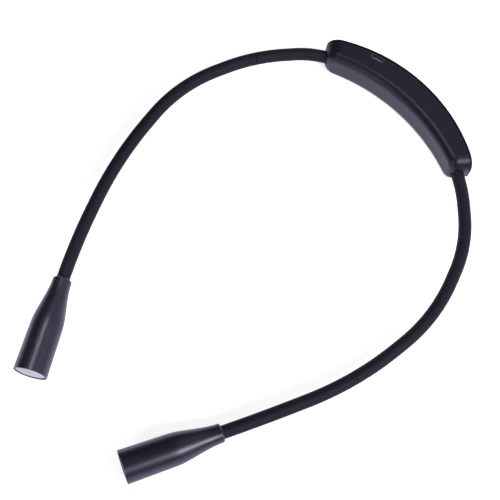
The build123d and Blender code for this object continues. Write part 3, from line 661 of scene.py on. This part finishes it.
# %% Where a column of the grid lies on the wall
def wall_outline(tree, given, column):
    """A column's distance along the route, and 1 if it lies in the bore."""
    add, less, times, over = arithmetic(tree)
    rings = given["Rings"]
    going = math_node(tree, "MINIMUM", column, rings)
    coming = math_node(tree, "MAXIMUM", less(column, add(rings, 1)), 0)
    steps = less(going, math_node(tree, "MINIMUM", coming, rings))
    share = over(math_node(tree, "MAXIMUM", steps, 0), rings)
    distance = add(given["From"], times(share, less(given["To"], given["From"])))
    turned_back = math_node(tree, "GREATER_THAN", column, add(rings, HALF))
    closing = math_node(tree, "GREATER_THAN", column, add(times(rings, 2), 1 + HALF))
    return distance, times(turned_back, less(1.0, closing))


def wall_radius(tree, given, distance, angle, in_bore):
    """The radius of the outside with its helical ripple, or that of the bore."""
    add, less, times, over = arithmetic(tree)
    phase = less(times(over(distance, given["Ripple Pitch"]), 2 * pi), angle)
    wave = times(less(1.0, math_node(tree, "COSINE", phase)), HALF)
    outer = less(given["Outer Radius"], times(wave, given["Ripple Depth"]))
    return add(times(outer, less(1.0, in_bore)), times(given["Bore Radius"], in_bore))


# %% A point of the wall round the route
UP = (0, 0, 1)


def wall_point(tree, route, distance, radius, angle):
    """The place at a distance along the route, and out from it by a radius at an angle."""
    vector = partial(math_node, tree, kind="ShaderNodeVectorMath")
    times = partial(math_node, tree, "MULTIPLY")
    sample = node(tree, "GeometryNodeSampleCurve", mode="LENGTH", use_all_curves=True)
    tree.links.new(route, sample.inputs["Curves"])
    tree.links.new(distance, sample.inputs["Length"])
    across = vector("NORMALIZE", vector("CROSS_PRODUCT", sample.outputs["Tangent"], UP))
    out_side = node(tree, "ShaderNodeVectorMath", operation="SCALE")
    tree.links.new(across, out_side.inputs[0])
    tree.links.new(times(radius, math_node(tree, "COSINE", angle)), out_side.inputs["Scale"])
    out_up = node(tree, "ShaderNodeCombineXYZ")
    tree.links.new(times(radius, math_node(tree, "SINE", angle)), out_up.inputs["Z"])
    offset = vector("ADD", out_side.outputs[0], out_up.outputs[0])
    return vector("ADD", sample.outputs["Position"], offset)


# %% The tube tree
WELD_DISTANCE = 1e-6        # metres
TUBE_INPUTS = {
    "Route": (SHAPE, None), "From": (FLOAT, 0.0), "To": (FLOAT, 100 * MM),
    "Outer Radius": (FLOAT, 3.0 * MM), "Bore Radius": (FLOAT, 2.0 * MM),
    "Ripple Depth": (FLOAT, 0.0), "Ripple Pitch": (FLOAT, 1.0 * MM),
    "Rings": (WHOLE, 64), "Sides": (WHOLE, 24), "Finish": ("NodeSocketMaterial", None),
}


def tube_tree():
    """Sweeps a closed wall with a bore along a route."""
    tree, given, result = new_tree(
        "wall_along_a_route", "GeometryNodeTree", TUBE_INPUTS, {"Tube": SHAPE})
    mesh, column, angle = wall_grid(tree, given)
    distance, in_bore = wall_outline(tree, given, column)
    radius = wall_radius(tree, given, distance, angle, in_bore)
    point = wall_point(tree, given["Route"], distance, radius, angle)
    move = node(tree, "GeometryNodeSetPosition")
    weld = node(tree, "GeometryNodeMergeByDistance", Distance=WELD_DISTANCE)
    smooth = node(tree, "GeometryNodeSetShadeSmooth")
    real = node(tree, "GeometryNodeRealizeInstances")
    paint = node(tree, "GeometryNodeSetMaterial")
    for step in (move, weld, smooth, real, paint):
        tree.links.new(mesh, step.inputs["Geometry"])
        mesh = step.outputs[0]
    tree.links.new(point, move.inputs["Position"])
    tree.links.new(given["Finish"], paint.inputs["Material"])
    tree.links.new(mesh, result["Tube"])
    lay_out(tree)
    return tree


TUBE = tube_tree()
SOCKETS = {item.name: item.identifier for item in TUBE.interface.items_tree}
print("tube tree nodes", len(TUBE.nodes))

# %% [markdown]
# ## Sleeves, cores and cables
#
# Each arm bends at four places in the CAD model. One long tube can't follow five bodies, so
# each of the arm's three tubes is cut into four pieces that meet in the middle of the
# stretches between the bends.

# %% How far each bend reaches
BEND_MARGIN = 1.5 * MM      # a bend ends this far short of a cut or of the housing
HEAD_MARGIN = 3.3 * MM      # and this far short of a head, where the sleeve stays straight
PIECES = len(STRETCHES) - 1  # of each tube, with one bend in each


def bend_span(i):
    """How far the bend at hinge i reaches back and on along the arm."""
    back = STRETCHES[0] if i == 0 else STRETCHES[i] / 2
    if i == PIECES - 1:
        return back - BEND_MARGIN, STRETCHES[-1] - HEAD_MARGIN
    return back - BEND_MARGIN, STRETCHES[i + 1] / 2 - BEND_MARGIN


def cuts(before, after):
    """Lengths from the route's start to the ends of its pieces, most of them in mid-stretch."""
    ends, reached = [0.0], before + STRETCHES[0]
    for length in STRETCHES[1:-1]:
        ends.append(reached + length / 2)
        reached += length
    ends.append(before + sum(STRETCHES) + after)
    return ends


print("bends over", [round(sum(bend_span(i)) / MM, 1) for i in range(PIECES)], "mm")

# %% One piece of tube
FEWEST_RINGS = 4


def route_curve(points):
    """Curve data that joins the points by straight lines."""
    data = bpy.data.curves.new("route", "CURVE")
    data.dimensions = "3D"
    line = data.splines.new("POLY")
    line.points.add(len(points) - 1)
    for target, point in zip(line.points, points):
        target.co = (*point, 1)
    return data


def tube_piece(name, points, start, end, ring_gap, **inputs):
    """A closed wall along the points, between two lengths counted from the first one."""
    route = route_curve(points)
    curve = bpy.data.objects.new(name, route)
    bpy.context.scene.collection.objects.link(curve)
    modifier = curve.modifiers.new("tube", "NODES")
    modifier.node_group = TUBE
    rings = max(FEWEST_RINGS, round((end - start) / ring_gap))
    inputs.update(From=start, To=end, Rings=rings)
    for label, value in inputs.items():
        modifier[SOCKETS[label.replace("_", " ")]] = value
    depsgraph = bpy.context.evaluated_depsgraph_get()
    mesh = bpy.data.meshes.new_from_object(curve.evaluated_get(depsgraph))
    bpy.data.objects.remove(curve)
    bpy.data.curves.remove(route)
    piece = bpy.data.objects.new(name, mesh)
    mesh.name = name
    bpy.context.scene.collection.objects.link(piece)
    return piece


# %% Four pieces of one kind of tube
RING_GAP = 1.2 * MM


def add_tubes(kind, side, before, after, material, replaced, ring_gap=RING_GAP, **sizes):
    """Four pieces of one kind of tube, cut in the middle of the stretches."""
    points, hinges = arm_route(side, before, after)
    ends = cuts(before, after)
    for i, (start, end) in enumerate(zip(ends, ends[1:])):
        piece = tube_piece(f"{side}_{kind}_{i + 1}", points, start, end, ring_gap,
                           Finish=FINISHES[material], **sizes)
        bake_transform(piece)
        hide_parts(*replaced[i])


# %% All tubes of both arms
SLEEVE = {"Outer_Radius": 3.525 * MM, "Bore_Radius": 2.4 * MM, "Sides": 32}
CORE = {"Outer_Radius": 2.25 * MM, "Bore_Radius": 1.2 * MM, "Sides": 16}
CABLE = {"Outer_Radius": 0.8 * MM, "Bore_Radius": 0.35 * MM, "Sides": 12}
COIL_DEPTH, COIL_PITCH = 0.28 * MM, 2.4 * MM
COIL_RINGS = 6              # in one turn of the coil
CORE_IN_HOUSING, CORE_IN_HEAD = 7.7 * MM, 11.2 * MM
CABLE_IN_HOUSING = {"left": 10.0 * MM, "right": 14.0 * MM}
CABLE_IN_HEAD = 38.0 * MM

for side in SIDES:
    add_tubes("sleeve_run", side, SLEEVE_IN_HOUSING, SLEEVE_IN_HEAD, "sleeve_silicone",
              [[f"{side}_sleeve"]] * PIECES, **SLEEVE)
    # the CAD model's core has one link more than there are pieces
    links = [f"{side}_core_{i + 1}" for i in range(PIECES + 1)]
    add_tubes("core_coil", side, CORE_IN_HOUSING, CORE_IN_HEAD, "core_steel",
              [[link] for link in links[:-2]] + [links[-2:]],
              ring_gap=COIL_PITCH / COIL_RINGS, Ripple_Depth=COIL_DEPTH,
              Ripple_Pitch=COIL_PITCH, **CORE)
    add_tubes("cable_run", side, CABLE_IN_HOUSING[side], CABLE_IN_HEAD, "wire_insulation",
              [[f"{side}_arm_cable"]] * PIECES, **CABLE)

# %% [markdown]
# ## The floor makes room for a lowered arm
#
# On a table the light lies flat, but round a neck an arm may hang lower than the housing.
# At such a pose the floor would cut through it. It could lie lower from the start, but then
# the light would float over it at rest. So a small Geometry Nodes tree on the floor reads
# where the arms and heads are, takes the lowest point of their bounding box, and lowers the
# floor to it. At rest it does nothing.

# %% The floor's tree
def floor_tree(watched):
    """Lowers its geometry to the lowest point of the watched objects."""
    tree, given, result = new_tree(
        "floor_below_the_arms", "GeometryNodeTree",
        {"Floor": (SHAPE, None), "Clearance": (FLOAT, FLOOR_DROP)}, {"Floor": SHAPE})
    together = node(tree, "GeometryNodeJoinGeometry")
    for thing in watched:
        seen = node(tree, "GeometryNodeObjectInfo", transform_space="RELATIVE", Object=thing)
        tree.links.new(seen.outputs["Geometry"], together.inputs[0])
    box = node(tree, "GeometryNodeBoundBox")
    tree.links.new(together.outputs[0], box.inputs[0])
    lowest = node(tree, "ShaderNodeSeparateXYZ")
    tree.links.new(box.outputs["Min"], lowest.inputs[0])
    drop = math_node(tree, "SUBTRACT", lowest.outputs["Z"], given["Clearance"])
    down = node(tree, "ShaderNodeCombineXYZ")
    tree.links.new(math_node(tree, "MINIMUM", 0.0, drop), down.inputs["Z"])
    move = node(tree, "GeometryNodeTransform")
    tree.links.new(given["Floor"], move.inputs["Geometry"])
    tree.links.new(down.outputs[0], move.inputs["Translation"])
    tree.links.new(move.outputs[0], result["Floor"])
    lay_out(tree)
    return tree


watched = [frame["nodes"][f"{side}_head_shell"] for side in SIDES]
watched += [bpy.data.objects[f"{side}_sleeve_run_{i + 1}"]
            for side in SIDES for i in range(PIECES)]
floor.modifiers.new("below_the_arms", "NODES").node_group = floor_tree(watched)
print("floor watches", len(watched))

# %% [markdown]
# ## Size of the visual model against the CAD box
#
# What was made again here should be as large as it is in the CAD model. A look can't tell
# tenths of a millimetre, so the CAD box is measured and written out.

# %% The CAD box
print("cad", [round(v, 5) for c in cad_box for v in c])
